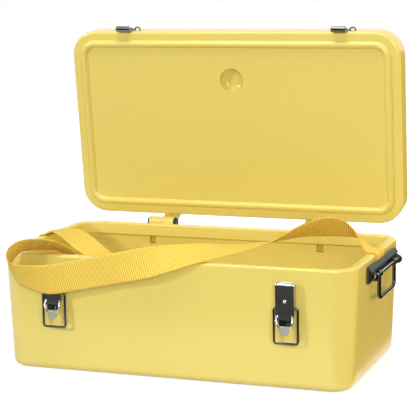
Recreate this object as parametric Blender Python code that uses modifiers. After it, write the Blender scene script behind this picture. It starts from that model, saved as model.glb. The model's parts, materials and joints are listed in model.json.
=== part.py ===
"""Transport toolbox: open moulded chest with hinged lid, toggle latches, drop handles and a strap."""
import bpy
import bmesh
from math import atan2, cos, pi, radians, sin, tan
from mathutils import Matrix, Vector

# Box shell, metres
BOX_W = 0.600
BOX_D = 0.3335
BOX_H = 0.195
DRAFT = 0.0080
CORNER_R = 0.044
CORNER_STEPS = 9
BASE_R = 0.013
WALL = 0.006
FLOOR_T = 0.007
RIM_W = 0.0155
RIM_DROP = 0.0215
RIM_R = 0.005

# Lid shell, drawn closed and turned open at the end
LID_T = 0.048
LID_GAP = 0.0008
LID_TOP_R = 0.014
LID_WALL = 0.005
BEAD_W = 0.011
BEAD_H = 0.006
BEAD_GAP = 0.0012
RECESS_R = 0.0215
RECESS_DEPTH = 0.016
RECESS_BOWL = 0.010
RECESS_Y = -0.081
VENT_R = 0.0025

# Hinges
HINGE_BACK = 0.0145
HINGE_RISE = -0.0005
OPEN_ANGLE = radians(83.3)
HINGE_X = 0.1447
KNUCKLE_W = 0.0242
LUG_W = 0.0223
BOSS_R = 0.0095
PIN_R = 0.003
WEB_DROP = 0.044
POCKET_W = 0.012
POCKET_H = 0.014

# Latches and strikers
LATCH_X = 0.1963
LATCH_DROP = 0.0270
PIVOT_N = 0.008
LEVER_HALF = 0.015
SHEET = 0.0015
ROLL_R = 0.0055
BAIL_DOWN = 0.034
BAIL_LONG = 0.0565
BAIL_HALF = 0.0193
BAIL_R = 0.002
STRIKER_HALF = 0.0125
STRIKER_T = 0.002
EYE_R = 0.0012

# Handles
HANDLE_Y = 0.011
HANDLE_DROP = 0.0265
HANDLE_HALF = 0.0905
EAR_Y = 0.0785
ROD_N = 0.012
ROD_R = 0.0026
GRIP_HALF = 0.0515
GRIP_DROP = 0.039
GRIP_R = 0.0032
PLATE_T = 0.002
CLAMP_STEP = 0.016
HOOD_DROP = 0.0095
HOOD_OUT = 0.0066
HOOD_FALL = 0.0070

# Strap
STRAP_W = 0.050
STRAP_T = 0.0018
STRAP_STEPS = 5

# Shared clearances and rivets
GAP = 0.0003
RIVET_R = 0.002
RIVET_HEAD = 0.004

# Sizes that follow
TILT = atan2(DRAFT, BOX_H)
LID_Z = BOX_H + LID_GAP
HINGE_Y = BOX_D / 2 + HINGE_BACK
HINGE_Z = BOX_H + HINGE_RISE
HALF_W = BOX_W / 2
HALF_D = BOX_D / 2
LATCH_Z = BOX_H - LATCH_DROP
HANDLE_Z = BOX_H - HANDLE_DROP
PLATE_N = STRAP_T + 2 * GAP

for old in list(bpy.data.objects):
    bpy.data.objects.remove(old)

PARTS = bpy.data.collections.new("transport_toolbox")
bpy.context.scene.collection.children.link(PARTS)


def material(name, colour, metallic, roughness):
    mat = bpy.data.materials.new(name)
    mat.use_nodes = True
    shader = mat.node_tree.nodes["Principled BSDF"]
    shader.inputs["Base Color"].default_value = (*colour, 1.0)
    shader.inputs["Metallic"].default_value = metallic
    shader.inputs["Roughness"].default_value = roughness
    return mat


SHELL = material("yellow_polyethylene", (0.80, 0.60, 0.14), 0.0, 0.45)
STEEL = material("zinc_plated_steel", (0.50, 0.50, 0.50), 1.0, 0.30)
DARK = material("dark_steel", (0.16, 0.17, 0.17), 1.0, 0.38)
BLACK = material("black_plastic", (0.02, 0.02, 0.02), 0.0, 0.5)
WEBBING = material("yellow_webbing", (0.85, 0.60, 0.10), 0.0, 0.85)


def from_bmesh(name, bm):
    bmesh.ops.remove_doubles(bm, verts=bm.verts, dist=1e-6)
    bmesh.ops.recalc_face_normals(bm, faces=bm.faces)
    mesh = bpy.data.meshes.new(name)
    bm.to_mesh(mesh)
    bm.free()
    obj = bpy.data.objects.new(name, mesh)
    PARTS.objects.link(obj)
    return obj


def evaluated(obj):
    """Mesh of an object with its modifiers worked in."""
    bpy.context.view_layer.update()
    graph = bpy.context.evaluated_depsgraph_get()
    return bpy.data.meshes.new_from_object(obj.evaluated_get(graph))


def settle(obj):
    """Replace a curve or a modified mesh by its finished mesh."""
    mesh = evaluated(obj)
    name = obj.name
    bpy.data.objects.remove(obj)
    bm = bmesh.new()
    bm.from_mesh(mesh)
    bpy.data.meshes.remove(mesh)
    return from_bmesh(name, bm)


def combine(obj, tool, operation):
    mod = obj.modifiers.new("combine", "BOOLEAN")
    mod.operation = operation
    mod.solver = "EXACT"
    mod.object = tool
    mesh = evaluated(obj)
    obj.modifiers.clear()
    obj.data = mesh
    bpy.data.objects.remove(tool)


def ring(half_x, half_y, radius, z):
    """Rounded rectangle, anticlockwise from above."""
    points = []
    for quarter in range(4):
        sx = 1 if quarter in (0, 3) else -1
        sy = 1 if quarter in (0, 1) else -1
        for step in range(CORNER_STEPS + 1):
            a = (quarter + step / CORNER_STEPS) * pi / 2
            x = sx * (half_x - radius) + radius * cos(a)
            y = sy * (half_y - radius) + radius * sin(a)
            points.append((x, y, z))
    return points


def loft(name, sections):
    """Closed solid through sections of equal point count, capped at both ends."""
    bm = bmesh.new()
    rows = [[bm.verts.new(p) for p in section] for section in sections]
    for low, high in zip(rows, rows[1:]):
        for i in range(len(low)):
            j = (i + 1) % len(low)
            bm.faces.new((low[i], low[j], high[j], high[i]))
    bm.faces.new(list(reversed(rows[0])))
    bm.faces.new(rows[-1])
    return from_bmesh(name, bm)


def shell_rings(profile):
    """Rounded-rectangle sections for a list of (inset, height)."""
    return [ring(HALF_W - i, HALF_D - i, max(CORNER_R - i, 0.004), z) for i, z in profile]


def arc(cx, cy, radius, start, end, steps):
    """Points on an arc in degrees, both ends included."""
    out = []
    for k in range(steps + 1):
        a = radians(start + (end - start) * k / steps)
        out.append((cx + radius * cos(a), cy + radius * sin(a)))
    return out


def prism(name, outline, axis, low, high):
    """Outline in the plane across the axis, drawn from low to high along it."""
    order = {"X": lambda u, v, w: (w, u, v), "Y": lambda u, v, w: (u, w, v), "Z": lambda u, v, w: (u, v, w)}
    place = order[axis]
    return loft(name, [[place(u, v, w) for u, v in outline] for w in (low, high)])


def lathe(name, profile, steps):
    """Turned solid round Z; the profile runs down its outer side."""
    mesh = bpy.data.meshes.new(name)
    points = [(r, 0.0, z) for r, z in profile]
    mesh.from_pydata(points, [(i, i + 1) for i in range(len(points) - 1)], [])
    obj = bpy.data.objects.new(name, mesh)
    PARTS.objects.link(obj)
    screw = obj.modifiers.new("turn", "SCREW")
    screw.steps = steps
    screw.render_steps = steps
    screw.use_merge_vertices = True
    screw.merge_threshold = 0.00001
    return settle(obj)


def rod(name, start, end, radius, steps=16):
    """Round bar or drill between two points."""
    start = Vector(start)
    run = Vector(end) - start
    bm = bmesh.new()
    bmesh.ops.create_cone(bm, cap_ends=True, segments=steps, radius1=radius, radius2=radius, depth=run.length)
    turn = run.to_track_quat("Z", "Y").to_matrix().to_4x4()
    bm.transform(Matrix.Translation(start + run / 2) @ turn)
    return from_bmesh(name, bm)


def drill(obj, start, end, radius, frame=Matrix.Identity(4)):
    combine(obj, rod("drill", frame @ Vector(start), frame @ Vector(end), radius, 12), "DIFFERENCE")


def rounded(points, radius, steps=4):
    """Polyline with its inner corners turned into arcs."""
    points = [Vector(p) for p in points]
    out = [points[0]]
    for before, corner, after in zip(points, points[1:], points[2:]):
        a = (before - corner).normalized()
        b = (after - corner).normalized()
        half = a.angle(b) / 2
        reach = radius / tan(half)
        centre = corner + (a + b).normalized() * (radius / sin(half))
        first = corner + a * reach - centre
        last = corner + b * reach - centre
        for k in range(steps + 1):
            out.append(centre + first.normalized().slerp(last.normalized(), k / steps) * radius)
    out.append(points[-1])
    return out


def wire(name, points, radius, resolution=2):
    """Round wire along a polyline, made into a closed mesh."""
    curve = bpy.data.curves.new(name, "CURVE")
    curve.dimensions = "3D"
    curve.bevel_depth = radius
    curve.bevel_resolution = resolution
    curve.use_fill_caps = True
    spline = curve.splines.new("POLY")
    spline.points.add(len(points) - 1)
    for slot, p in zip(spline.points, points):
        slot.co = (*p, 1.0)
    obj = bpy.data.objects.new(name, curve)
    PARTS.objects.link(obj)
    return settle(obj)


def finish(obj, mat, parent=None, at=(0, 0, 0), turn=(0, 0, 0)):
    obj.data.materials.clear()
    obj.data.materials.append(mat)
    obj.data.shade_smooth()
    obj.data.set_sharp_from_angle(angle=radians(32))
    obj.parent = parent
    obj.location = at
    obj.rotation_euler = turn


def empty(name, at, turn=(0, 0, 0)):
    obj = bpy.data.objects.new(name, None)
    obj.location = at
    obj.rotation_euler = turn
    PARTS.objects.link(obj)
    return obj


def inset_at(z):
    """How far the drafted wall stands in from the rim line at a height."""
    return DRAFT * (1 - z / BOX_H)


# Box shell
base_c = inset_at(BASE_R) + BASE_R
base_in = BASE_R - WALL
profile = [(base_c + BASE_R * u, BASE_R + BASE_R * v) for u, v in arc(0, 0, 1, 270, 180, 5)]
profile += [(RIM_R + RIM_R * u, BOX_H - RIM_R + RIM_R * v) for u, v in arc(0, 0, 1, 180, 90, 4)]
lip_r = 0.0035
profile += [(RIM_W - lip_r + lip_r * u, BOX_H - lip_r + lip_r * v) for u, v in arc(0, 0, 1, 90, 0, 3)]
lip_z = BOX_H - RIM_DROP
profile += [(RIM_W - 0.002 + u, lip_z + 0.002 + v) for u, v in arc(0, 0, 0.002, 0, -90, 2)]
under = inset_at(lip_z) + WALL
profile += [(under + 0.002, lip_z), (under, lip_z - 0.002)]
floor_c = inset_at(FLOOR_T + base_in) + WALL + base_in
profile += [(floor_c + u, FLOOR_T + base_in + v) for u, v in arc(0, 0, base_in, 180, 270, 4)]
box = loft("box_shell", shell_rings(profile))


def knuckle_outline():
    """Side view of a box knuckle: web from the wall and boss on the axis."""
    foot = BOX_H - WEB_DROP
    back = HALF_D - inset_at(foot)
    shoulder = BOX_H - RIM_R
    points = [(back - WALL / 2, foot), (back + 0.0015, foot), (HINGE_Y + BOSS_R, HINGE_Z - BOSS_R * 0.75)]
    points += arc(HINGE_Y, HINGE_Z, BOSS_R, 0, 205, 12)
    points += [(HALF_D + 0.002, shoulder), (HALF_D - WALL / 2, shoulder)]
    return points


def lug_outline():
    """Side view of a lid lug, closed: web on the lid's rear wall and boss on the axis."""
    top = LID_Z + LID_T - LID_TOP_R + 0.003
    points = [(HALF_D - LID_WALL / 2, top), (HALF_D - LID_WALL / 2, LID_Z + 0.0075)]
    points += [(HALF_D + 0.003, LID_Z + 0.0075)]
    points += arc(HINGE_Y, HINGE_Z, BOSS_R, 190, 385, 13)
    points += [(HALF_D + 0.006, top)]
    return points


def heel_outline():
    """Side view of a lug's heel, closed: it meets the box's rear wall when the lid stands open."""
    opened = []
    for z in (BOX_H - RIM_R - 0.0015, BOX_H - RIM_R - 0.010):
        opened.append((GAP - HINGE_BACK - inset_at(z), z - HINGE_Z))
    opened += [(opened[-1][0] + 0.0035, opened[-1][1] - 0.0006), (BOSS_R * 0.5, -BOSS_R * 0.8)]
    opened += [(0, 0), (-BOSS_R * 0.9, BOSS_R * 0.1)]
    c, s = cos(OPEN_ANGLE), sin(OPEN_ANGLE)
    return [(HINGE_Y + y * c - z * s, HINGE_Z + y * s + z * c) for y, z in opened]


for side in (-1, 1):
    ends = sorted((side * HINGE_X, side * (HINGE_X + KNUCKLE_W)))
    combine(box, prism("knuckle", knuckle_outline(), "X", *ends), "UNION")
    mid = sum(ends) / 2
    top_z = lip_z - 0.0015
    face = HALF_D - inset_at(top_z) - WALL
    pocket = [(mid - POCKET_W / 2, top_z - POCKET_H), (mid + POCKET_W / 2, top_z - POCKET_H)]
    pocket += [(mid + POCKET_W / 2, top_z), (mid - POCKET_W / 2, top_z)]
    combine(box, prism("pocket", pocket, "Y", face - 0.004, face + WALL + 0.0025), "DIFFERENCE")
    reach = (HINGE_X - 0.002) * side, (HINGE_X + KNUCKLE_W + 0.002) * side
    drill(box, (reach[0], HINGE_Y, HINGE_Z), (reach[1], HINGE_Y, HINGE_Z), PIN_R + GAP)

# Lid shell
bead_out = RIM_W + BEAD_GAP
bead_mid = bead_out + BEAD_W / 2
profile = [(bead_out + BEAD_W + 0.001, LID_Z)]
profile += [(bead_mid - BEAD_W / 2 * u, LID_Z - BEAD_H * v) for u, v in arc(0, 0, 1, 180, 0, 8)][1:-1]
profile += [(bead_out - 0.001, LID_Z)]
profile += [(RIM_R + RIM_R * u, LID_Z + RIM_R + RIM_R * v) for u, v in arc(0, 0, 1, 270, 180, 4)]
lid_top = LID_Z + LID_T
profile += [(LID_TOP_R + LID_TOP_R * u, lid_top - LID_TOP_R + LID_TOP_R * v) for u, v in arc(0, 0, 1, 180, 90, 5)]
lid = loft("lid_shell", shell_rings(profile))
for side in (-1, 1):
    ends = sorted((side * HINGE_X - side * 2 * GAP, side * (HINGE_X - LUG_W)))
    combine(lid, prism("lug", lug_outline(), "X", *ends), "UNION")
    combine(lid, prism("heel", heel_outline(), "X", *ends), "UNION")
hollow_r = LID_TOP_R - LID_WALL
profile = [(LID_WALL + 0.003, LID_Z + LID_WALL), (LID_WALL, LID_Z + LID_WALL + 0.003)]
hollow_top = lid_top - LID_WALL
profile += [(LID_WALL + hollow_r + u, hollow_top - hollow_r + v) for u, v in arc(0, 0, hollow_r, 180, 90, 3)]
hollow = loft("hollow", shell_rings(profile))
column = (0, RECESS_Y)
column_r = RECESS_R + LID_WALL
tall = lid_top + 0.01
combine(hollow, rod("column", (*column, LID_Z - 0.01), (*column, tall), column_r, 32), "DIFFERENCE")
combine(lid, hollow, "DIFFERENCE")
bowl = RECESS_R - RECESS_BOWL, RECESS_DEPTH - RECESS_BOWL
profile = [(0, RECESS_DEPTH)] + [(y, x) for x, y in arc(bowl[1], bowl[0], RECESS_BOWL, 0, 90, 4)]
recess = lathe("recess", profile + [(RECESS_R, -0.01), (0, -0.01)], 32)
recess.location = (*column, LID_Z)
combine(lid, recess, "DIFFERENCE")
vent_z = LID_Z + LID_T / 2
drill(lid, (0, HALF_D - 2 * LID_WALL, vent_z), (0, HALF_D + LID_WALL, vent_z), VENT_R)
for side in (-1, 1):
    reach = (HINGE_X - LUG_W - 0.002) * side, (HINGE_X + 0.002) * side
    drill(lid, (reach[0], HINGE_Y, HINGE_Z), (reach[1], HINGE_Y, HINGE_Z), PIN_R + GAP)

# Hinge pins and their caps
for side, tag in ((-1, "left"), (1, "right")):
    inner = HINGE_X - LUG_W
    outer = HINGE_X + KNUCKLE_W
    pin = rod("hinge_pin_" + tag, (side * (inner - 0.003), 0, 0), (side * (outer + 0.002), 0, 0), PIN_R)
    finish(pin, STEEL, None, (0, HINGE_Y, HINGE_Z))
    bore = PIN_R + GAP
    for end, depth, name, way in ((inner, 0.0045, "inner", -side), (outer, 0.0035, "outer", side)):
        cap_r = BOSS_R - 0.001
        cap_profile = [(0, depth), (cap_r - 0.0015, depth), (cap_r, depth - 0.0015), (cap_r, 0)]
        cap_profile += [(bore, 0), (bore, depth - 0.001), (0, depth - 0.001)]
        cap = lathe("hinge_cap_" + name + "_" + tag, cap_profile, 16)
        at = (side * end + way * GAP, HINGE_Y, HINGE_Z)
        finish(cap, BLACK, None, at, (0, way * pi / 2, 0))


def rivet(name, grip, tail):
    """Dome head above z = 0, shank through the grip; the tail is a formed head or none."""
    dome = [(RIVET_HEAD * sin(radians(a)), GAP + 0.0022 * cos(radians(a))) for a in (0, 30, 60, 90)]
    points = dome + [(RIVET_R, GAP), (RIVET_R, -grip)]
    if tail:
        points += [(RIVET_R * 1.6, -grip), (RIVET_R * 1.6, -grip - 0.0012)]
    points += [(0, points[-1][1])]
    return lathe(name, points, 12)


# Latches on the front wall, drawn with Y into the wall and Z up along it
bail_n = PIVOT_N - 0.0002
plate_n = GAP + SHEET
lid_axis = empty("lid_axis", (0, HINGE_Y, HINGE_Z), (-OPEN_ANGLE, 0, 0))
TO_LID = (0, -HINGE_Y, -HINGE_Z)


def mirrored(points):
    """Outline of a shape that is the same left and right, from its right half listed top down."""
    return points + [(-x, y) for x, y in reversed(points)]


for side, tag in ((-1, "left"), (1, "right")):
    origin = Vector((side * LATCH_X, -(HALF_D - inset_at(LATCH_Z)), LATCH_Z))
    frame = Matrix.Translation(origin) @ Matrix.Rotation(TILT, 4, "X")
    holder = empty("latch_frame_" + tag, origin, (TILT, 0, 0))
    ear_out = LEVER_HALF - SHEET - 2 * GAP
    half = ear_out - 0.002
    foot = BAIL_DOWN + 0.014
    outline = mirrored([(ear_out + 0.0001, 0.005), (ear_out + 0.0001, -0.005), (half, -0.007), (half, -foot)])
    base = prism("latch_base_" + tag, outline, "Y", -plate_n, -GAP)
    ear_r = ROLL_R - SHEET - 2 * GAP
    root = -plate_n + SHEET / 2
    ear = [(root, 0.003)] + arc(-PIVOT_N, 0, ear_r, 60, 300, 8) + [(root, -0.003)]
    for flank in (-1, 1):
        ends = sorted((flank * ear_out, flank * (ear_out - SHEET)))
        combine(base, prism("ear", ear, "X", *ends), "UNION")
    drill(base, (-0.03, -PIVOT_N, 0), (0.03, -PIVOT_N, 0), RIVET_R + GAP)
    grip = plate_n + WALL + GAP
    for z, place in ((-0.018, "upper"), (-BAIL_DOWN - 0.006, "lower")):
        drill(base, (0, 0.02, z), (0, -0.02, z), RIVET_R + GAP)
        drill(box, (0, 0.02, z), (0, -0.02, z), RIVET_R + GAP, frame)
        stud = rivet("latch_rivet_" + place + "_" + tag, grip, True)
        finish(stud, STEEL, holder, (0, -plate_n, z), (pi / 2, 0, 0))
    finish(base, STEEL, holder)

    # Lever: one pressed strip with a top rolled between the ears, a thumb tab and a flange each side
    mid_r = ROLL_R - SHEET / 2
    roll_half = ear_out - SHEET - 2 * GAP
    path = [(x, y, roll_half) for x, y in arc(0, 0, mid_r, 140, 24, 6)]
    path += [(x, y, LEVER_HALF) for x, y in arc(0, 0, mid_r, 20, 0, 1)]
    face_end = BAIL_DOWN + 0.0105
    tab_r = LEVER_HALF / 2
    tab_z = face_end + 0.0235
    neck = LEVER_HALF / 3
    path += [(mid_r, -face_end, LEVER_HALF), (mid_r, -face_end - 0.004, LEVER_HALF * 0.86)]
    lean = tan(radians(12))
    for z, w in ((face_end + 0.009, neck * 1.15), (face_end + 0.0135, neck)):
        path.append((mid_r + (z - face_end - 0.006) * lean, -z, w))
    for a in (48, 70, 90, 110, 132, 155, 172):
        z = tab_z - tab_r * cos(radians(a))
        path.append((mid_r + (z - face_end - 0.006) * lean, -z, tab_r * sin(radians(a))))
    sections = []
    for k, (n, z, w) in enumerate(path):
        before = path[max(k - 1, 0)]
        after = path[min(k + 1, len(path) - 1)]
        run = Vector((after[0] - before[0], after[1] - before[1])).normalized()
        skin = Vector((-run.y, run.x)) * SHEET / 2
        outer = (-(n + skin.x), z + skin.y)
        inner = (-(n - skin.x), z - skin.y)
        sections.append([(-w, *outer), (w, *outer), (w, *inner), (-w, *inner)])
    lever = loft("latch_lever_" + tag, sections)
    flange_r = ROLL_R - 0.0002
    flange = arc(0, 0, flange_r, 0, 180, 10) + arc(0, -BAIL_DOWN, flange_r, 180, 360, 10)
    for flank in (-1, 1):
        ends = sorted((flank * (LEVER_HALF - 0.0001), flank * (LEVER_HALF - SHEET - 0.0001)))
        combine(lever, prism("flange", flange, "X", *ends), "UNION")
    dome = lathe("dome", [(0, 0.0012), (0.0018, 0.0009), (0.003, 0), (0.003, -0.0005), (0, -0.0005)], 12)
    dome.location = (0, -ROLL_R, -0.66 * BAIL_DOWN)
    dome.rotation_euler = (pi / 2, 0, 0)
    combine(lever, dome, "UNION")
    drill(lever, (-0.03, 0, 0), (0.03, 0, 0), RIVET_R + GAP)
    swing = PIVOT_N - bail_n, -BAIL_DOWN
    drill(lever, (-0.03, *swing), (0.03, *swing), BAIL_R + GAP)
    finish(lever, STEEL, holder, (0, -PIVOT_N, 0))

    head = LEVER_HALF + GAP
    points = [(0, head + 0.0012), (0.0026, head + 0.0012), (0.003, head + 0.0008), (0.003, head)]
    points += [(RIVET_R, head), (RIVET_R, -head), (0.003, -head), (0.003, -head - 0.0008)]
    points += [(0.0026, -head - 0.0012), (0, -head - 0.0012)]
    pin = lathe("latch_pin_" + tag, points, 12)
    finish(pin, STEEL, holder, (0, -PIVOT_N, 0), (0, pi / 2, 0))

    inside = LEVER_HALF - SHEET - 0.001
    corners = [(-inside, 0, 0), (-BAIL_HALF, 0, 0), (-BAIL_HALF, 0, -BAIL_LONG)]
    corners += [(BAIL_HALF, 0, -BAIL_LONG), (BAIL_HALF, 0, 0), (inside, 0, 0)]
    bail = wire("latch_bail_" + tag, rounded(corners, 0.004), BAIL_R)
    finish(bail, DARK, holder, (0, -bail_n, -BAIL_DOWN), (-TILT, 0, 0))

    # Striker on the lid: hook that opens upwards, with the bail's bar in its groove when latched
    hang = frame @ Vector((0, -bail_n, -BAIL_DOWN))
    bar_y = hang.y
    bar_z = hang.z + BAIL_LONG
    back = -HALF_D - GAP - 0.0001
    front = back - STRIKER_T
    groove = front - bar_y
    low = bar_z - BAIL_R - GAP + groove
    top = LID_Z + 0.022
    outline = [(back, top), (front, top)]
    outline += arc(bar_y, low, groove, 360, 180, 8)
    outline += [(bar_y - groove, bar_z + 0.002), (bar_y - groove - STRIKER_T, bar_z + 0.002)]
    outline += arc(bar_y, low, groove + STRIKER_T, 180, 360, 8)
    hook = prism("striker_" + tag, outline, "X", -STRIKER_HALF, STRIKER_HALF)
    at = Vector(TO_LID) + Vector((side * LATCH_X, 0, 0))
    z = LID_Z + 0.0135
    for flank, place in ((-1, "a"), (1, "b")):
        x = flank * STRIKER_HALF * 0.55
        drill(hook, (x, back - 0.02, z), (x, back + 0.02, z), RIVET_R + GAP)
        drill(lid, (side * LATCH_X + x, back - 0.02, z), (side * LATCH_X + x, back + 0.02, z), RIVET_R + GAP)
        stud = rivet("striker_rivet_" + place + "_" + tag, STRIKER_T + 2 * GAP + LID_WALL, True)
        finish(stud, STEEL, lid_axis, at + Vector((x, front, z)), (pi / 2, 0, 0))
    finish(hook, STEEL, lid_axis, at)
    eye_x = STRIKER_HALF + 0.0075
    eye_w = 0.0045
    reach = -HALF_D + LID_WALL + 0.002
    proud = -HALF_D - 0.0055
    corners = [(-eye_w, reach, 0), (-eye_w, proud, 0), (eye_w, proud, 0), (eye_w, reach, 0)]
    eye = wire("striker_eye_" + tag, rounded(corners, 0.003, 3), EYE_R, 1)
    for flank in (-1, 1):
        x = side * LATCH_X + eye_x + flank * eye_w
        drill(lid, (x, back - 0.02, z), (x, back + 0.02, z), EYE_R + GAP)
    finish(eye, DARK, lid_axis, at + Vector((eye_x, 0, z)))

# Drop handles, drawn with X out of the wall, Y along it and Z up
strap_holes = []
for side, tag in ((-1, "left"), (1, "right")):
    origin = Vector((side * (HALF_W - inset_at(HANDLE_Z)), HANDLE_Y, HANDLE_Z))
    spin = 0 if side > 0 else pi
    frame = Matrix.Translation(origin) @ Matrix.Rotation(spin, 4, "Z") @ Matrix.Rotation(TILT, 4, "Y")
    holder = empty("handle_frame_" + tag, origin, (0, TILT, spin))
    top = HANDLE_DROP - HOOD_DROP
    lip_n = PLATE_N + HOOD_OUT
    lip_z = top - HOOD_FALL
    face_n = PLATE_N + PLATE_T
    sections = []
    for share in (-1, -0.8, -0.55, -0.25, 0.25, 0.55, 0.8, 1):
        low = -0.0035 - 0.007 * min(1, max(0, (abs(share) - 0.25) / 0.55))
        outline = [(face_n, low), (PLATE_N, low), (PLATE_N, top - 0.0008), (PLATE_N + 0.0008, top)]
        outline += [(PLATE_N + 0.0020, top - 0.0004), (lip_n, lip_z), (lip_n, lip_z - 0.0012)]
        outline += [(lip_n - 0.0010, lip_z - 0.0018), (lip_n - 0.0020, lip_z - 0.0008), (face_n, top - 0.0036)]
        sections.append([(n, share * HANDLE_HALF, z) for n, z in outline])
    plate = loft("handle_plate_" + tag, sections)
    ear_r = 0.0072
    ear = [(GAP, -0.0102), (PLATE_N + 0.001, -0.0102)] + arc(ROD_N, 0, ear_r, 240, 440, 12)
    ear += [(PLATE_N + 0.001, top - 0.003), (GAP, top - 0.003)]
    for flank in (-1, 1):
        ends = flank * EAR_Y - PLATE_T / 2, flank * EAR_Y + PLATE_T / 2
        combine(plate, prism("ear", ear, "Y", *ends), "UNION")
    drill(plate, (ROD_N, -0.2, 0), (ROD_N, 0.2, 0), ROD_R + GAP)
    depth = 0.014
    outer = HANDLE_HALF * 0.71
    for k, u in enumerate((-outer, -CLAMP_STEP, 0, CLAMP_STEP, outer)):
        z = 0.0068
        drill(plate, (-0.03, u, z), (0.03, u, z), RIVET_R + GAP)
        drill(box, (-depth, u, z), (0.03, u, z), RIVET_R + GAP, frame)
        strap_holes.append((frame @ Vector((-0.004, u, z)), frame @ Vector((0.01, u, z))))
        stud = rivet("handle_rivet_" + str(k + 1) + "_" + tag, face_n + depth - 2 * GAP, False)
        finish(stud, STEEL, holder, (face_n, u, z), (0, pi / 2, 0))
    finish(plate, DARK, holder)

    end = EAR_Y + PLATE_T / 2 + GAP
    head = 0.005
    points = [(head * sin(radians(a)), end + 0.0032 * cos(radians(a))) for a in (0, 30, 60, 90)]
    points += [(ROD_R, end), (ROD_R, -end), (head * 0.8, -end), (head * 0.8, -end - 0.001)]
    points += [(ROD_R, -end - 0.0018), (0, -end - 0.0018)]
    axle = lathe("handle_rod_" + tag, points, 16)
    finish(axle, STEEL, holder, (ROD_N, 0, 0), (pi / 2, 0, 0))

    corners = [(0, GRIP_HALF, 0), (0, GRIP_HALF, -GRIP_DROP)]
    corners += [(0, -GRIP_HALF, -GRIP_DROP), (0, -GRIP_HALF, 0)]
    grip = wire("handle_bail_" + tag, rounded(corners, 0.008, 5), GRIP_R, 3)
    for flank in (-1, 1):
        low = (0, flank * GRIP_HALF - 0.0062, 0)
        high = (0, flank * GRIP_HALF + 0.0062, 0)
        combine(grip, rod("eye", low, high, ROD_R + 0.0028, 20), "UNION")
    combine(grip, rod("bore", (0, -0.2, 0), (0, 0.2, 0), ROD_R + GAP, 16), "DIFFERENCE")
    finish(grip, DARK, holder, (ROD_N, 0, 0), (0, -TILT, 0))

# Strap: flat webbing through stations of a centre point and a width direction
lie = STRAP_T / 2 + GAP
bend = RIM_R + lie


def over_rim(side, y):
    """Stations up the outside of an end wall and on to the rim."""
    out = []
    for drop in (0.0245, 0.013, 0.0075):
        z = BOX_H - drop
        out.append(((side * (HALF_W - inset_at(z) + lie), y, z), (0, 1, 0)))
    for a in (15, 45, 75):
        x = side * (HALF_W - RIM_R + (bend + GAP) * cos(radians(a)))
        out.append(((x, y, BOX_H - RIM_R + (bend + GAP) * sin(radians(a))), (0, 1, 0)))
    out.append(((side * (HALF_W - 0.010), y, BOX_H + lie + 0.0004), (0, 1, 0)))
    return out


front = -HALF_D
stations = over_rim(1, HANDLE_Y - 0.004)
stations += [
    ((HALF_W - 0.0182, HANDLE_Y - 0.0040, BOX_H + 0.0034), (0, 1, -0.04)),
    ((HALF_W - 0.0259, HANDLE_Y - 0.0040, BOX_H + 0.0114), (0, 0.97, -0.20)),
    ((HALF_W - 0.0348, HANDLE_Y - 0.0070, BOX_H + 0.0262), (0.06, 0.88, -0.44)),
    ((HALF_W - 0.0533, HANDLE_Y - 0.0140, BOX_H + 0.0367), (0.05, 0.75, -0.67)),
    ((HALF_W - 0.0832, HANDLE_Y - 0.0240, BOX_H + 0.0394), (-0.05, 0.70, -0.73)),
    ((HALF_W - 0.1184, HANDLE_Y - 0.0440, BOX_H + 0.0344), (-0.15, 0.84, -0.52)),
    ((HALF_W - 0.1581, HANDLE_Y - 0.0750, BOX_H + 0.0215), (-0.35, 0.90, -0.22)),
    ((0.0952, front + 0.0620, BOX_H + 0.0147), (-0.50, 0.85, 0.06)),
    ((0.0423, front + 0.0160, BOX_H + 0.0122), (-0.40, 0.78, 0.45)),
    ((-0.0242, front - 0.0080, BOX_H - 0.0010), (-0.10, 0.36, 0.92)),
    ((-0.0907, front - 0.0125, BOX_H - 0.0153), (0, 0.06, 1)),
    ((-0.1499, front - 0.0170, BOX_H - 0.0280), (0, -0.02, 1)),
    ((-0.2019, front - 0.0205, BOX_H - 0.0371), (0, -0.18, 0.98)),
    ((-HALF_W + 0.0569, front - 0.0260, BOX_H - 0.0318), (0.13, -0.56, 0.82)),
    ((-HALF_W + 0.0298, front - 0.0217, BOX_H - 0.0220), (0.22, -0.73, 0.65)),
    ((-HALF_W + 0.0093, front + 0.0000, BOX_H - 0.0084), (0.42, -0.81, 0.40)),
    ((-HALF_W + 0.0029, front + 0.0195, BOX_H + 0.0040), (0.45, -0.86, 0.23)),
    ((-HALF_W + 0.0082, front + 0.0355, BOX_H + 0.0101), (0.41, -0.90, 0.16)),
    ((-HALF_W + 0.0270, front + 0.0390, BOX_H + 0.0105), (0.24, -0.94, 0.24)),
    ((-HALF_W + 0.0533, front + 0.0410, BOX_H + 0.0088), (0.12, -0.89, 0.44)),
    ((-HALF_W + 0.0868, front + 0.0465, BOX_H + 0.0006), (0.16, -0.79, 0.60)),
    ((-HALF_W + 0.1167, front + 0.0525, BOX_H - 0.0165), (0.32, -0.72, 0.62)),
    ((-HALF_W + 0.1374, front + 0.0550, BOX_H - 0.0498), (0.20, -0.90, 0.35)),
    ((-HALF_W + 0.1607, front + 0.0530, BOX_H - 0.0692), (0.05, -0.99, 0.10)),
    ((-HALF_W + 0.1790, front + 0.0500, BOX_H - 0.0478), (-0.10, -0.99, 0)),
    ((-HALF_W + 0.1751, front + 0.0500, BOX_H - 0.0184), (-0.35, -0.93, 0)),
    ((-HALF_W + 0.1387, front + 0.0600, BOX_H + 0.0029), (-0.68, -0.73, 0)),
    ((-HALF_W + 0.0969, front + 0.1020, BOX_H + 0.0114), (-0.78, -0.62, 0)),
    ((-HALF_W + 0.0543, front + 0.1500, BOX_H + 0.0121), (-0.70, -0.71, 0)),
    ((-HALF_W + 0.0252, front + 0.1765, BOX_H + 0.0054), (-0.25, -0.97, 0)),
]
stations += [(c, (0, -1, 0)) for c, w in reversed(over_rim(-1, 0.014))]


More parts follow.
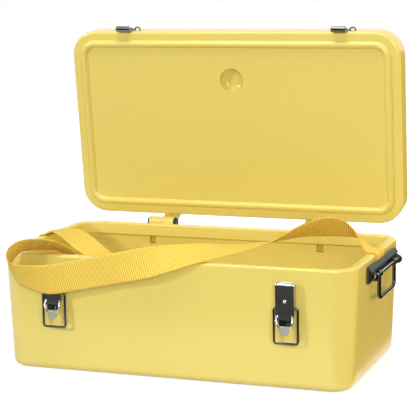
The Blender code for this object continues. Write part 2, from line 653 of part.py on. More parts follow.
def smooth(values, k, t):
    """Catmull-Rom point between values k and k + 1."""
    p0, p1, p2, p3 = (values[min(max(k + d, 0), len(values) - 1)] for d in (-1, 0, 1, 2))
    near = (p2 - p0) * 0.5
    far = (p3 - p1) * 0.5
    a = (p1 - p2) * 2 + near + far
    b = (p2 - p1) * 3 - near * 2 - far
    return a * t ** 3 + b * t ** 2 + near * t + p1


edges = []
for way in (-1, 1):
    edges.append([Vector(c) + Vector(w).normalized() * (way * STRAP_W / 2) for c, w in stations])
line = []
for k in range(len(stations) - 1):
    reach = (Vector(stations[k + 1][0]) - Vector(stations[k][0])).length
    steps = STRAP_STEPS if reach > 0.012 else 2
    line += [[smooth(edge, k, i / steps) for edge in edges] for i in range(steps)]
line.append([edge[-1] for edge in edges])
bm = bmesh.new()
rows = [[bm.verts.new(a.lerp(b, f)) for f in (0, 0.3, 0.7, 1)] for a, b in line]
for low, high in zip(rows, rows[1:]):
    for i in range(3):
        bm.faces.new((low[i], low[i + 1], high[i + 1], high[i]))
strap = from_bmesh("shoulder_strap", bm)
solid = strap.modifiers.new("webbing", "SOLIDIFY")
solid.thickness = STRAP_T
solid.offset = 0
strap = settle(strap)
for start, end in strap_holes:
    combine(strap, rod("drill", start, end, RIVET_R + GAP, 12), "DIFFERENCE")
finish(strap, WEBBING)

finish(box, SHELL)
finish(lid, SHELL, lid_axis, TO_LID)
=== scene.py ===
"""Looks of the transport toolbox: finishes, the webbing strap, the studio and the camera."""
import json
from math import cos, radians, sin, tau

import bmesh
import bpy
from mathutils import Matrix, Vector


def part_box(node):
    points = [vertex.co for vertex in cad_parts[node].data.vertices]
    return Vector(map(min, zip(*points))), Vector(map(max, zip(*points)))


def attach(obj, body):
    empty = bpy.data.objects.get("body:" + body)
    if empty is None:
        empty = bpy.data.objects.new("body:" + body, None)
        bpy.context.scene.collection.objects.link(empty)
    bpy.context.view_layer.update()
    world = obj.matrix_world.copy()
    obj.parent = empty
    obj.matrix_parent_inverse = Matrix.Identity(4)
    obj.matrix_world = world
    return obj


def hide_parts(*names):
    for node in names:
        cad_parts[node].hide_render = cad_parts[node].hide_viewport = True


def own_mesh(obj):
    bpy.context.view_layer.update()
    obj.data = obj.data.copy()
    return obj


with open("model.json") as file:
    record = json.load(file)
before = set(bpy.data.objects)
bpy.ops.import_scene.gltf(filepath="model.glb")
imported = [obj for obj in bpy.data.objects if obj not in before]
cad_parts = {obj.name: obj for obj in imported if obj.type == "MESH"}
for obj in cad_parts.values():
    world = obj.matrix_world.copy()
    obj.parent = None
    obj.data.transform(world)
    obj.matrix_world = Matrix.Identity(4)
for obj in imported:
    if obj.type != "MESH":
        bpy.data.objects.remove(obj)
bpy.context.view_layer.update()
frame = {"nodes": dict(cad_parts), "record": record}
NODES = frame["nodes"]

# Sizes shared with the CAD model, metres
HALF_W = 0.300
HALF_D = 0.16675
RIM_Z = 0.195
DRAFT = 0.0080
RIM_R = 0.005
HANDLE_Y = 0.011
STRAP_W = 0.050
STRAP_T = 0.0018
GAP = 0.0003
STRAP_LIE = STRAP_T / 2 + GAP

# Camera found from the photograph's perspective: pixels, metres and radians
FRAME_PX = 415
FOCAL_PX = 1512.97
SENSOR_MM = 36.0
CAMERA_AT = (0.86556, -2.33883, 0.65202)
CAMERA_AZIMUTH = 0.35148
CAMERA_ELEVATION = 0.15793
CAMERA_ROLL = -0.01359
CAMERA_REACH = 50


def add_object(name, data):
    """A new object of this data, linked to the scene."""
    obj = bpy.data.objects.new(name, data)
    bpy.context.scene.collection.objects.link(obj)
    return obj


def add_camera():
    """The photograph's camera, turned about the upright, tipped down and rolled."""
    ahead = Vector((-sin(CAMERA_AZIMUTH) * cos(CAMERA_ELEVATION),
                    cos(CAMERA_AZIMUTH) * cos(CAMERA_ELEVATION),
                    -sin(CAMERA_ELEVATION)))
    level = Vector((cos(CAMERA_AZIMUTH), sin(CAMERA_AZIMUTH), 0))
    upright = level.cross(ahead)
    right = level * cos(CAMERA_ROLL) + upright * sin(CAMERA_ROLL)
    up = upright * cos(CAMERA_ROLL) - level * sin(CAMERA_ROLL)
    data = bpy.data.cameras.new("camera")
    data.sensor_width = SENSOR_MM
    data.lens = FOCAL_PX * SENSOR_MM / FRAME_PX
    data.clip_end = CAMERA_REACH
    camera = add_object("camera", data)
    turn = Matrix((right, up, -ahead)).transposed().to_4x4()
    camera.matrix_world = Matrix.Translation(CAMERA_AT) @ turn
    bpy.context.scene.camera = camera


class Finish:
    """A Principled material with a few helpers for its procedural nodes.

    Colour and roughness are the plain values, which linked nodes may take over.
    """

    def __init__(self, name, colour, roughness, metallic=0.0):
        self.material = bpy.data.materials.new(name)
        self.material.use_nodes = True
        self.tree = self.material.node_tree
        self.shader = self.tree.nodes["Principled BSDF"]
        self.set(Base_Color=(*colour, 1), Metallic=metallic, Roughness=roughness)
        self.place = self.node("ShaderNodeTexCoord").outputs["Object"]

    def set(self, **values):
        for socket, value in values.items():
            self.shader.inputs[socket.replace("_", " ")].default_value = value

    def node(self, kind, inputs=None, **settings):
        node = self.tree.nodes.new(kind)
        for key, value in settings.items():
            setattr(node, key, value)
        for key, value in (inputs or {}).items():
            if isinstance(value, bpy.types.NodeSocket):
                self.tree.links.new(value, node.inputs[key])
            else:
                node.inputs[key].default_value = value
        return node

    def link(self, output, socket):
        self.tree.links.new(output, self.shader.inputs[socket])

    def axes(self, place):
        """The three parts of a place."""
        return self.node("ShaderNodeSeparateXYZ", {0: place}).outputs

    def noise(self, scale, detail, stretch=None):
        place = self.place
        if stretch:
            place = self.node("ShaderNodeMapping", {"Vector": place, "Scale": stretch}).outputs[0]
        inputs = {"Vector": place, "Scale": scale, "Detail": detail}
        return self.node("ShaderNodeTexNoise", inputs).outputs["Fac"]

    def span(self, value, low, high, start=0.3, end=0.7):
        """A value between start and end, brought to low..high."""
        inputs = {"Value": value, "From Min": start, "From Max": end, "To Min": low, "To Max": high}
        return self.node("ShaderNodeMapRange", inputs).outputs[0]

    def maths(self, operation, a, b=0.0):
        return self.node("ShaderNodeMath", {0: a, 1: b}, operation=operation).outputs[0]

    def wave(self, along, pitch):
        """A sine with one turn to each pitch."""
        return self.maths("SINE", self.maths("MULTIPLY", along, tau / pitch))

    def mix(self, share, *colours):
        """Colour between the two given, each plain or from a node."""
        a, b = (c if isinstance(c, bpy.types.NodeSocket) else (*c, 1) for c in colours)
        return self.node("ShaderNodeMix", {0: share, 6: a, 7: b}, data_type="RGBA").outputs[2]

    def bump(self, height, distance, strength, below=None):
        inputs = {"Height": height, "Distance": distance, "Strength": strength}
        if below:
            inputs["Normal"] = below
        return self.node("ShaderNodeBump", inputs).outputs[0]


# Colours, linear
YELLOW = (0.80, 0.650, 0.158)
YELLOW_PALE = (0.84, 0.690, 0.185)
YELLOW_DEEP = (0.76, 0.600, 0.130)
WEB_YELLOW = (1.0, 0.78, 0.145)
# Colour in the webbing's grooves: painted shade
WEB_GROOVE_SHADE = (0.70, 0.40, 0.035)
WEB_PATCH = (0.86, 0.54, 0.07)
STEEL_GREY = (0.56, 0.56, 0.55)
# The strikers' plated steel, darkened: painted shade for the dark surroundings they mirror
STRIKER_SHADED_GREY = (0.20, 0.215, 0.22)
# The bails' plated steel, darkened: painted shade for the dark surroundings they mirror
BAIL_SHADED_GREY = (0.14, 0.135, 0.125)
KNURL_GREY = (0.44, 0.47, 0.43)
# The rod's painted shade between its turns and painted highlight on their crests
ROD_GROOVE_SHADE = (0.06, 0.06, 0.055)
ROD_CREST_HIGHLIGHT = (0.8, 0.8, 0.78)
DARK_GREY = (0.15, 0.168, 0.158)
CAP_BLACK = (0.02, 0.02, 0.021)

# Patterns: pitches and heights in metres, the lean as a slope
RIB_PITCH = 0.0038
RIB_LEAN = -0.30
YARN_PITCH = 0.0018
KNURL_PITCH = 0.0034
KNURL_HIGH = 0.0135
KNURL_FADE = 0.0008
ROD_PITCH = 0.0085

# Plated metal: roughness, what is left of a colour where it is dull, and what painted shade leaves
# of it in hollows
BRIGHT_ROUGH = 0.10
KNURL_ROUGH = 0.45
DULLED = 0.72
SHADED_IN_HOLLOW = 0.22


def moulded_plastic():
    """Smooth yellow plastic, a little cloudy."""
    look = Finish("moulded_polyethylene", YELLOW, 0.30)
    look.set(IOR=1.5, Specular_IOR_Level=0.5)
    cloudy = look.noise(scale=5.0, detail=1.0)
    fine = look.noise(scale=160.0, detail=2.0)
    hazy = look.noise(scale=11.0, detail=2.0)
    grain = look.noise(scale=420.0, detail=2.0)
    tone = look.mix(look.span(cloudy, 0, 0.30, 0.1, 0.9), YELLOW, YELLOW_PALE)
    tone = look.mix(look.span(fine, 0, 0.20, 0.2, 0.8), tone, YELLOW_DEEP)
    look.link(tone, "Base Color")
    look.link(look.span(hazy, 0.17, 0.25, 0.1, 0.9), "Roughness")
    look.link(look.bump(grain, distance=0.00006, strength=0.3), "Normal")
    return look.material


def plating(look, colour):
    """Uneven plating: its colour and its normal."""
    smoky = look.noise(scale=45.0, detail=3.0)
    dull = tuple(c * DULLED for c in colour)
    tone = look.mix(look.span(smoky, 0, 0.8), colour, dull)
    return tone, look.bump(smoky, distance=0.0006, strength=0.25)


def plated_steel(name, colour, roughness):
    """Plated steel with a fine drawn grain."""
    look = Finish(name, colour, roughness, metallic=1.0)
    tone, swell = plating(look, colour)
    grain = look.noise(scale=300.0, detail=4.0, stretch=(1.0, 1.0, 0.12))
    look.link(tone, "Base Color")
    look.link(look.span(grain, roughness * 0.75, roughness * 1.5), "Roughness")
    look.link(swell, "Normal")
    return look.material


def knurled_lever(lever):
    """Plated steel with a diamond knurl on the thumb tab at the lever's low end, its hollows
    darkened with painted shade.
    """
    look = Finish("plated_lever", STEEL_GREY, BRIGHT_ROUGH, metallic=1.0)
    tone, swell = plating(look, STEEL_GREY)
    x, _, z = look.axes(look.place)
    tab_top = min(corner[2] for corner in lever.bound_box) + KNURL_HIGH
    mask = look.span(z, 1, 0, tab_top, tab_top + KNURL_FADE)
    ridges = []
    for way in (1, -1):
        slant = look.maths("ADD", z, look.maths("MULTIPLY", x, way))
        ridges.append(look.maths("ABSOLUTE", look.wave(slant, 2 * KNURL_PITCH)))
    knurl = look.maths("MULTIPLY", *ridges)
    # The knurl's hollows are darkened with painted shade
    hollow_shade = tuple(c * SHADED_IN_HOLLOW for c in KNURL_GREY)
    wear_and_painted_shade = look.mix(look.span(knurl, 0, 1, 0, 0.7), hollow_shade, KNURL_GREY)
    raised = look.maths("MULTIPLY", knurl, mask)
    look.link(look.mix(mask, tone, wear_and_painted_shade), "Base Color")
    look.link(look.span(mask, BRIGHT_ROUGH, KNURL_ROUGH, 0, 1), "Roughness")
    look.link(look.bump(raised, distance=0.0005, strength=1.0, below=swell), "Normal")
    return look.material


def coiled_rod():
    """Plated rod with turns along it: painted highlights on the crests and painted shade between
    them.
    """
    look = Finish("coiled_rod", STEEL_GREY, 0.2, metallic=1.0)
    turn = look.wave(look.axes(look.place)[1], ROD_PITCH)
    # Colour runs from painted shade between the turns to a painted highlight on their crests
    look.link(look.mix(look.span(turn, 0, 1, -0.6, 0.6), ROD_GROOVE_SHADE, ROD_CREST_HIGHLIGHT), "Base Color")
    look.link(look.bump(turn, distance=0.0012, strength=1.0), "Normal")
    return look.material


def black_plastic():
    """Dull black plastic of the hinge caps."""
    look = Finish("black_plastic", CAP_BLACK, 0.42)
    wear_and_painted_shade = look.noise(scale=200.0, detail=3.0)
    grain = look.noise(scale=600.0, detail=2.0)
    look.link(look.span(wear_and_painted_shade, 0.36, 0.52), "Roughness")
    look.link(look.bump(grain, distance=0.0001, strength=0.4), "Normal")
    return look.material


def webbing():
    """Ribbed webbing: slanting ribs across the band and fine yarns, in the band's own metres. The
    grooves are darkened with painted shade.
    """
    look = Finish("woven_webbing", WEB_YELLOW, 0.72)
    look.set(Sheen_Weight=0.05, Sheen_Roughness=0.5, Specular_IOR_Level=0.25)
    across, along, _ = look.axes(look.node("ShaderNodeUVMap", uv_map="band").outputs[0])
    lean = look.maths("ADD", along, look.maths("MULTIPLY", across, RIB_LEAN))
    rib = look.maths("MULTIPLY", look.wave(lean, RIB_PITCH), 0.8)
    yarn = look.maths("MULTIPLY", look.wave(across, YARN_PITCH), 0.2)
    level = look.span(look.maths("ADD", rib, yarn), 0, 1, -0.9, 0.7)
    # Darker down into each groove between ribs and yarns: painted shade
    tone = look.mix(level, WEB_GROOVE_SHADE, WEB_YELLOW)
    patch = look.span(look.noise(scale=30.0, detail=3.0), 0, 0.25)
    look.link(look.mix(patch, tone, WEB_PATCH), "Base Color")
    look.link(look.bump(level, distance=0.0007, strength=0.9), "Normal")
    return look.material


# Strap: its route in the photograph, metres, from the right end wall to the left one.
# The left loop turns over above the front rim, where the CAD model's goes round the corner.
FRONT = -HALF_D
RIGHT_END_Y = HANDLE_Y - 0.004
LEFT_END_Y = 0.014
WALL_DROPS = (0.0245, 0.013, 0.0075)
BEND_ANGLES = (15, 45, 75)
RIM_REACH = 0.010
RIM_LIFT = 0.0004


def over_rim(side, y):
    """Stations up the outside of an end wall and on to the rim."""
    width_way = (0, 1, 0)
    out = []
    for drop in WALL_DROPS:
        z = RIM_Z - drop
        wall = HALF_W - DRAFT * (1 - z / RIM_Z)
        out.append(((side * (wall + STRAP_LIE), y, z), width_way))
    bend = RIM_R + STRAP_LIE + GAP
    for a in BEND_ANGLES:
        x = side * (HALF_W - RIM_R + bend * cos(radians(a)))
        out.append(((x, y, RIM_Z - RIM_R + bend * sin(radians(a))), width_way))
    out.append(((side * (HALF_W - RIM_REACH), y, RIM_Z + STRAP_LIE + RIM_LIFT), width_way))
    return out


# A centre and a width direction at each station
stations = over_rim(1, RIGHT_END_Y)
stations += [
    ((HALF_W - 0.0182, HANDLE_Y - 0.0040, RIM_Z + 0.0034), (0, 1, -0.04)),
    ((HALF_W - 0.0259, HANDLE_Y - 0.0040, RIM_Z + 0.0114), (0, 0.97, -0.20)),
    ((HALF_W - 0.0348, HANDLE_Y - 0.0070, RIM_Z + 0.0262), (0.06, 0.88, -0.44)),
    ((HALF_W - 0.0533, HANDLE_Y - 0.0140, RIM_Z + 0.0367), (0.05, 0.75, -0.67)),
    ((HALF_W - 0.0832, HANDLE_Y - 0.0240, RIM_Z + 0.0394), (-0.05, 0.70, -0.73)),
    ((HALF_W - 0.1184, HANDLE_Y - 0.0440, RIM_Z + 0.0344), (-0.15, 0.84, -0.52)),
    ((HALF_W - 0.1581, HANDLE_Y - 0.0750, RIM_Z + 0.0215), (-0.35, 0.90, -0.22)),
    ((0.0952, FRONT + 0.0620, RIM_Z + 0.0147), (-0.50, 0.85, 0.06)),
    ((0.0423, FRONT + 0.0160, RIM_Z + 0.0122), (-0.40, 0.78, 0.45)),
    ((-0.0242, FRONT - 0.0080, RIM_Z - 0.0010), (-0.10, 0.36, 0.92)),
    ((-0.0907, FRONT - 0.0125, RIM_Z - 0.0153), (0, 0.06, 1)),
    ((-0.1499, FRONT - 0.0170, RIM_Z - 0.0280), (0, -0.02, 1)),
    ((-0.2019, FRONT - 0.0205, RIM_Z - 0.0371), (0, -0.18, 0.98)),
    ((-HALF_W + 0.0569, FRONT - 0.0260, RIM_Z - 0.0318), (0.13, -0.56, 0.82)),
    ((-HALF_W + 0.0423, FRONT - 0.0249, RIM_Z - 0.0261), (0.19, -0.68, 0.71)),
    ((-HALF_W + 0.0359, FRONT - 0.0272, RIM_Z - 0.0157), (0.27, -0.77, 0.58)),
    ((-HALF_W + 0.0362, FRONT - 0.0280, RIM_Z - 0.0050), (0.26, -0.82, 0.51)),
    ((-HALF_W + 0.0433, FRONT - 0.0273, RIM_Z + 0.0068), (0.24, -0.83, 0.50)),
    ((-HALF_W + 0.0518, FRONT - 0.0177, RIM_Z + 0.0138), (0.26, -0.83, 0.50)),
    ((-HALF_W + 0.0631, FRONT - 0.0043, RIM_Z + 0.0154), (0.28, -0.81, 0.51)),
    ((-HALF_W + 0.0837, FRONT + 0.0069, RIM_Z + 0.0148), (0.30, -0.80, 0.51)),
    ((-HALF_W + 0.1047, FRONT + 0.0154, RIM_Z + 0.0104), (0.31, -0.83, 0.47)),
    ((-HALF_W + 0.1167, FRONT + 0.0525, RIM_Z - 0.0165), (0.32, -0.72, 0.62)),
    ((-HALF_W + 0.1374, FRONT + 0.0550, RIM_Z - 0.0498), (0.20, -0.90, 0.35)),
    ((-HALF_W + 0.1607, FRONT + 0.0530, RIM_Z - 0.0692), (0.05, -0.99, 0.10)),
    ((-HALF_W + 0.1790, FRONT + 0.0500, RIM_Z - 0.0478), (-0.10, -0.99, 0)),
    ((-HALF_W + 0.1751, FRONT + 0.0500, RIM_Z - 0.0184), (-0.35, -0.93, 0)),
    ((-HALF_W + 0.1387, FRONT + 0.0600, RIM_Z + 0.0029), (-0.68, -0.73, 0)),
    ((-HALF_W + 0.0969, FRONT + 0.1020, RIM_Z + 0.0114), (-0.78, -0.62, 0)),
    ((-HALF_W + 0.0543, FRONT + 0.1500, RIM_Z + 0.0121), (-0.70, -0.71, 0)),
    ((-HALF_W + 0.0252, FRONT + 0.1765, RIM_Z + 0.0054), (-0.25, -0.97, 0)),
]
stations += [(c, (0, -1, 0)) for c, w in reversed(over_rim(-1, LEFT_END_Y))]

# Mesh of the band: step along it, faces across it, and its selvedges' thinning
ROW_STEP = 0.0025
ACROSS = 16
SELVEDGE_SHARE = 0.35
SELVEDGE_W = 0.0016


def smooth(values, k, t):
    """Catmull-Rom point between values k and k + 1."""
    p0, p1, p2, p3 = (values[min(max(k + d, 0), len(values) - 1)] for d in (-1, 0, 1, 2))
    near = (p2 - p0) * 0.5
    far = (p3 - p1) * 0.5
    a = (p1 - p2) * 2 + near + far
    b = (p2 - p1) * 3 - near * 2 - far
    return a * t ** 3 + b * t ** 2 + near * t + p1


def band_rows():
    """Both edges of the band at short steps along it."""
    edges = []
    for way in (-1, 1):
        half = way * STRAP_W / 2
        edges.append([Vector(c) + Vector(w).normalized() * half for c, w in stations])
    rows = []
    for k in range(len(stations) - 1):
        reach = (Vector(stations[k + 1][0]) - Vector(stations[k][0])).length
        steps = max(2, round(reach / ROW_STEP))
        rows += [[smooth(edge, k, i / steps) for edge in edges] for i in range(steps)]
    rows.append([edge[-1] for edge in edges])
    return rows


def band_loop(bm, a, b, face):
    """Vertices round the band between its edges a and b, each with its place across."""
    loop = []
    for side in (1, -1):
        for i in range(ACROSS + 1):
            f = i / ACROSS if side > 0 else 1 - i / ACROSS
            edge = min(f, 1 - f) * STRAP_W
            half = STRAP_T / 2 * min(1, (SELVEDGE_SHARE + edge / SELVEDGE_W)) ** 0.5
            vert = bm.verts.new(a.lerp(b, f) + face * (side * half))
            loop.append((vert, f * STRAP_W))
    return loop


def strap_solid():
    """The whole band as one closed mesh with rounded selvedges, laid out flat in its UV map."""
    rows = band_rows()
    bm = bmesh.new()
    uv = bm.loops.layers.uv.new("band")
    loops = []
    runs = [0.0]
    for k, (a, b) in enumerate(rows):
        ahead = rows[min(k + 1, len(rows) - 1)]
        behind = rows[max(k - 1, 0)]
        run = (ahead[0] + ahead[1]) - (behind[0] + behind[1])
        loops.append(band_loop(bm, a, b, run.cross(b - a).normalized()))
        if k:
            middle = (a + b) / 2 - (behind[0] + behind[1]) / 2
            runs.append(runs[-1] + middle.length)
    count = len(loops[0])
    for k in range(len(loops) - 1):
        for i in range(count):
            j = (i + 1) % count
            corners = ((k, i), (k, j), (k + 1, j), (k + 1, i))
            quad = bm.faces.new([loops[r][c][0] for r, c in corners])
            quad.smooth = True
            for corner, (r, c) in zip(quad.loops, corners):
                corner[uv].uv = loops[r][c][1], runs[r]
    for end in (0, -1):
        cap = bm.faces.new([v for v, u in loops[end]])
        for corner, (v, u) in zip(cap.loops, loops[end]):
            corner[uv].uv = u, runs[end]
    bmesh.ops.recalc_face_normals(bm, faces=bm.faces)
    return bm


def bisect(bm, at, across, **clear):
    """Cuts the mesh by a plane; returns the edges of the cut."""
    geom = bm.verts[:] + bm.edges[:] + bm.faces[:]
    cut = bmesh.ops.bisect_plane(bm, geom=geom, plane_co=at, plane_no=across, **clear)
    return [e for e in cut["geom_cut"] if isinstance(e, bmesh.types.BMEdge)]


def close(bm, rims):
    """Fills the open ends of a cut and leaves their edges sharp."""
    bmesh.ops.holes_fill(bm, edges=rims, sides=0)
    for edge in rims:
        edge.smooth = False
    bmesh.ops.recalc_face_normals(bm, faces=bm.faces)


def cut_at(bm, z, keep_above):
    """One side of the band cut by a level plane, with the cut closed."""
    part = bm.copy()
    rims = bisect(part, (0, 0, z), (0, 0, 1), clear_inner=keep_above, clear_outer=not keep_above)
    close(part, rims)
    return part


def split_at(bm, at, across):
    """The band parted at an upright plane, both cuts closed."""
    bmesh.ops.split_edges(bm, edges=bisect(bm, at, across))
    close(bm, [e for e in bm.edges if e.is_boundary])


def islands(bm):
    """Sets of the vertices that hang together."""
    left = set(bm.verts)
    out = []
    while left:
        todo = [left.pop()]
        group = set(todo)
        while todo:
            for edge in todo.pop().link_edges:
                for vert in edge.verts:
                    if vert in left:
                        left.discard(vert)
                        group.add(vert)
                        todo.append(vert)
        out.append(group)
    return out


def piece_from(bm, group, name, mat):
    """An object made of one group of the mesh's vertices."""
    part = bm.copy()
    part.verts.ensure_lookup_table()
    keep = {v.index for v in group}
    bmesh.ops.delete(part, geom=[v for v in part.verts if v.index not in keep], context="VERTS")
    mesh = bpy.data.meshes.new(name)
    part.to_mesh(mesh)
    part.free()
    mesh.materials.append(mat)
    return add_object(name, mesh)


# The band's pieces in order along it, and the most vertices of a sliver that joins the nearest
# piece
STRAP_PLACES = ("right_end", "right_rim", "right_arch", "front_turn", "front_band", "left_loop",
                "loop_back", "hanging_loop", "left_run", "left_rim", "left_end")
SLIVER_VERTS = 200

# Where the band is cut: just over the rim, and above it also at the rim's inner edge, on the right,
# the left and the front.
CUT_Z = RIM_Z + RIM_LIFT
RIM_IN = 0.0156
MOUTH_EDGES = (((HALF_W - RIM_IN, 0, 0), (1, 0, 0)),
               ((RIM_IN - HALF_W, 0, 0), (1, 0, 0)),
               ((0, RIM_IN - HALF_D, 0), (0, 1, 0)))


def strap_parts():
    """The cut band's parts in order along it: run, above the cut or not, mesh, vertices."""
    whole = strap_solid()
    found = []
    for above in (True, False):
        part = cut_at(whole, CUT_Z, above)
        if above:
            for at, across in MOUTH_EDGES:
                split_at(part, at, across)
        part.verts.index_update()
        along = part.loops.layers.uv["band"]
        groups = []
        for group in islands(part):
            runs = [corner[along].uv.y for vert in group for corner in vert.link_loops]
            groups.append((sum(runs) / len(runs), group))
        main = [g for g in groups if len(g[1]) > SLIVER_VERTS]
        for run, group in groups:
            if len(group) <= SLIVER_VERTS:
                min(main, key=lambda g: abs(g[0] - run))[1].update(group)
        found += [(run, above, part, group) for run, group in main]
    return sorted(found, key=lambda f: f[0])


def add_strap(mat):
    """The band in pieces, hung on the box in place of the CAD strap. The pieces above the rim's
    cut, and the front band, get meshes of their own."""
    for place, (_, above, part, group) in zip(STRAP_PLACES, strap_parts()):
        obj = piece_from(part, group, "strap_" + place, mat)
        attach(obj, "box")
        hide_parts("shoulder_strap")
        if above:
            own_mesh(obj)
        elif place == "front_band":
            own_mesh(obj)


# Turned-up ears at a lever's low end: half spread, lift off the lever, height over its foot
EAR_PATH = ((0.0118, 0.0006, 0.0300), (0.0134, 0.0028, 0.0258), (0.0130, 0.0040, 0.0205),
            (0.0105, 0.0032, 0.0145), (0.0088, 0.0008, 0.0110))
EAR_R = 0.0015
# The sheet between the ears: height over the lever's foot, half width
WEB_ROWS = ((0.0300, 0.0127), (0.0240, 0.0122), (0.0190, 0.0110), (0.0145, 0.0092))
WEB_T = 0.0008
WEB_PROUD = 0.0002
# The thumb tab leans out below this height
TAB_LEAN = 0.2126
TAB_HIGH = 0.025


def add_ears(side, mat):
    """The ears either side of the thumb tab, with the sheet between them."""
    low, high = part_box("latch_lever_" + side)
    middle = (low[0] + high[0]) / 2
    face = low[1] + TAB_HIGH * TAB_LEAN - WEB_PROUD

    def spot(x, lift, rise):
        return middle + x, face - max(0, TAB_HIGH - rise) * TAB_LEAN - lift, low[2] + rise

    ears = bpy.data.curves.new("lever_ears_" + side, "CURVE")
    ears.dimensions = "3D"
    ears.bevel_depth = EAR_R
    ears.bevel_resolution = 3
    ears.use_fill_caps = True
    for flank in (-1, 1):
        spline = ears.splines.new("NURBS")
        spline.points.add(len(EAR_PATH) - 1)
        spline.use_endpoint_u = True
        spline.order_u = 3
        for point, (x, lift, rise) in zip(spline.points, EAR_PATH):
            point.co = (*spot(flank * x, lift, rise), 1)

    web = bpy.data.meshes.new("lever_web_" + side)
    verts = [spot(flank * half, 0, rise) for rise, half in WEB_ROWS for flank in (-1, 1)]
    faces = [(k, k + 2, k + 3, k + 1) for k in range(0, len(verts) - 2, 2)]
    web.from_pydata(verts, [], faces)

    for data in (ears, web):
        data.materials.append(mat)
        piece = add_object(data.name, data)
        if data == web:
            sheet = piece.modifiers.new("sheet", "SOLIDIFY")
            sheet.thickness = WEB_T
            sheet.offset = 0
        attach(piece, "lever_" + side)


# Nodes with a finish of their own, by how their names start; the others take their slot's
OWN_FINISH = {"latch_lever": "lever", "striker": "striker", "handle_rod": "rod",
              "latch_bail": "bail", "handle_bail": "bail"}
# Sheet-metal pieces whose edges are shown eased
EASED = ("latch_lever", "handle_plate", "striker_left", "striker_right")
EASE_W = 0.0005
EASE_ANGLE = 40
# Angles in degrees above which an edge is shown sharp: on round wire and on the rest
WIRE_ANGLE = 58
SHARP_ANGLE = 33
WELD_REACH = 0.000005


def dress_nodes(finishes):
    """Gives each CAD node its finish, with rounded faces shaded as round."""
    slots = {s["node"]: s["material_slot"] for s in frame["record"]["subparts"]}
    for name, obj in NODES.items():
        mesh = obj.data
        mesh.materials.clear()
        own = [kind for start, kind in OWN_FINISH.items() if name.startswith(start)]
        mesh.materials.append(finishes[own[0] if own else slots[name]])
        for attribute in ("custom_normal", "sharp_face", "sharp_edge"):
            if attribute in mesh.attributes:
                mesh.attributes.remove(mesh.attributes[attribute])
        weld = obj.modifiers.new("weld", "WELD")
        weld.merge_threshold = WELD_REACH
        if name.startswith(EASED):
            ease = obj.modifiers.new("eased", "BEVEL")
            ease.width = EASE_W
            ease.segments = 2
            ease.angle_limit = radians(EASE_ANGLE)
        split = obj.modifiers.new("edges", "EDGE_SPLIT")
        split.split_angle = radians(WIRE_ANGLE if "bail" in name or "rod" in name else SHARP_ANGLE)
        split.use_edge_sharp = False
        obj.modifiers.new("normals", "WEIGHTED_NORMAL")


# Studio: strengths of the white world and of the floor's glow, which grows between two distances
WORLD_FILL = 0.12
WORLD_SEEN = 1.0
FLOOR_GREY = (0.55, 0.55, 0.55)
FLOOR_GLOW = 0.68
FLOOR_GLOW_FAR = 1.0
GLOW_FROM = 0.8
GLOW_TO = 2.0
FLOOR = ((-4, -0.9), (4, 4))
FLOOR_Z = -0.0004
MATT = 0.9
WHITE = (1, 1, 1, 1)

# Dark flags seen only in polished metal: level ones by two corners, upright ones by their foot
# line and height
FLAG_BLACK = (0.015, 0.015, 0.015)
FLAG_Z = 0.0006
LEVEL_FLAGS = (("flag_front", ((-3, -4), (3, -0.42))),
               ("flag_right", ((0.31, -0.42), (3, 3))))
UPRIGHT_FLAGS = (("flag_back", (-3, -3), (3, -3), 1.6),
                 ("flag_side", (2.6, -3), (2.6, 3.1), 1.6),
                 ("flag_far", (0.5, 3), (1.8, 3), 0.6))
WARM = (1, 0.76, 0.34)


def seen_directly(tree):
    """1 for camera, glossy and transmission rays."""
    path = tree.nodes.new("ShaderNodeLightPath")
    total = path.outputs["Is Camera Ray"]
    for name in ("Is Glossy Ray", "Is Transmission Ray"):
        most = tree.nodes.new("ShaderNodeMath")
        most.operation = "MAXIMUM"
        tree.links.new(total, most.inputs[0])
        tree.links.new(path.outputs[name], most.inputs[1])
        total = most.outputs[0]
    return total


def add_world():
    """White where it is seen, and only a weak fill on dull surfaces."""
    world = bpy.data.worlds.new("studio")
    bpy.context.scene.world = world
    world.use_nodes = True
    tree = world.node_tree
    shader = tree.nodes["Background"]
    shader.inputs["Color"].default_value = WHITE
    level = tree.nodes.new("ShaderNodeMapRange")
    level.inputs["To Min"].default_value = WORLD_FILL
    level.inputs["To Max"].default_value = WORLD_SEEN
    tree.links.new(seen_directly(tree), level.inputs["Value"])
    tree.links.new(level.outputs[0], shader.inputs["Strength"])


def card(name, corners, mat):
    """A four-cornered piece of the stage."""
    mesh = bpy.data.meshes.new(name)
    mesh.from_pydata(corners, [], [(0, 1, 2, 3)])
    mesh.materials.append(mat)
    obj = add_object(name, mesh)
    return obj


def level_corners(corners, z):
    (x0, y0), (x1, y1) = corners
    return [(x0, y0, z), (x1, y0, z), (x1, y1, z), (x0, y1, z)]


def add_floor():
    """Grey paper that glows where it is seen, up to white far from the box."""
    look = Finish("floor_paper", FLOOR_GREY, MATT)
    look.set(Emission_Color=WHITE)
    reach = look.node("ShaderNodeVectorMath", {0: look.place}, operation="LENGTH").outputs["Value"]
    glow = look.span(reach, FLOOR_GLOW, FLOOR_GLOW_FAR, GLOW_FROM, GLOW_TO)
    look.link(look.maths("MULTIPLY", seen_directly(look.tree), glow), "Emission Strength")
    card("floor", level_corners(FLOOR, FLOOR_Z), look.material)


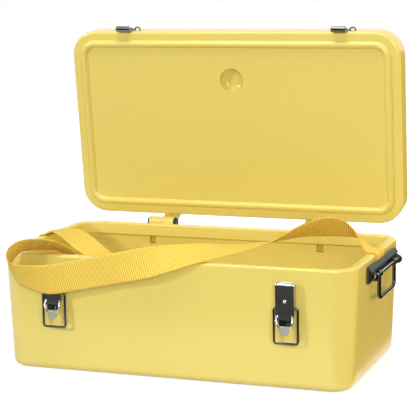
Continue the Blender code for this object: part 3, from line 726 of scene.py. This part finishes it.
def add_flags():
    """Dark cards that show in polished metal and nowhere else."""
    mat = Finish("flag_black", FLAG_BLACK, MATT).material
    flags = [card(name, level_corners(corners, FLAG_Z), mat) for name, corners in LEVEL_FLAGS]
    for name, a, b, top in UPRIGHT_FLAGS:
        flags.append(card(name, [(*a, 0), (*b, 0), (*b, top), (*a, top)], mat))
    for flag in flags:
        flag.visible_camera = False
        flag.visible_diffuse = False
        flag.visible_shadow = False


def lamp(name, at, aim, size, watts, colour=(1, 1, 1), mirrored=True):
    """An area lamp turned to its aim; one that isn't mirrored stays out of reflections."""
    data = bpy.data.lights.new(name, "AREA")
    data.shape = "RECTANGLE"
    data.size, data.size_y = size
    data.energy = watts
    data.color = colour
    obj = add_object(name, data)
    obj.location = at
    obj.rotation_euler = (Vector(aim) - Vector(at)).to_track_quat("-Z", "Y").to_euler()
    obj.visible_glossy = mirrored


def add_lamps():
    lamp("key", at=(-2.4, -2.6, 1.5), aim=(0, 0, 0.25), size=(0.5, 0.5), watts=48)
    lamp("top", at=(0, -0.4, 2.3), aim=(0, 0, 0.2), size=(1.6, 1.2), watts=31)
    lamp("front", at=(1.2, -2.4, 0.9), aim=(0, 0, 0.12), size=(1.6, 1.0), watts=39)
    lamp("right", at=(2.0, 0.45, 0.55), aim=(0.3, 0, 0.12), size=(0.9, 0.7), watts=18,
         colour=WARM, mirrored=False)
    lamp("back", at=(0.2, 2.8, 1.1), aim=(0, 0, 0.25), size=(1.8, 1.2), watts=38, mirrored=False)


finishes = {
    "yellow_polyethylene": moulded_plastic(),
    "zinc_plated_steel": plated_steel("plated_steel", STEEL_GREY, BRIGHT_ROUGH),
    # Darker copy of the plated steel: painted shade standing for dark reflections
    "striker": plated_steel("striker_steel_painted_shade", STRIKER_SHADED_GREY, 0.16),
    # Darker copy of the plated steel: painted shade standing for dark reflections
    "bail": plated_steel("bail_steel_painted_shade", BAIL_SHADED_GREY, 0.14),
    "rod": coiled_rod(),
    "lever": knurled_lever(NODES["latch_lever_right"]),
    "dark_steel": plated_steel("dark_plated_steel", DARK_GREY, 0.30),
    "black_plastic": black_plastic(),
    "yellow_webbing": webbing(),
}
dress_nodes(finishes)
add_strap(finishes["yellow_webbing"])
for side in ("left", "right"):
    add_ears(side, finishes["zinc_plated_steel"])
add_world()
add_floor()
add_flags()
add_lamps()
add_camera()
bpy.context.scene.view_settings.view_transform = "Standard"
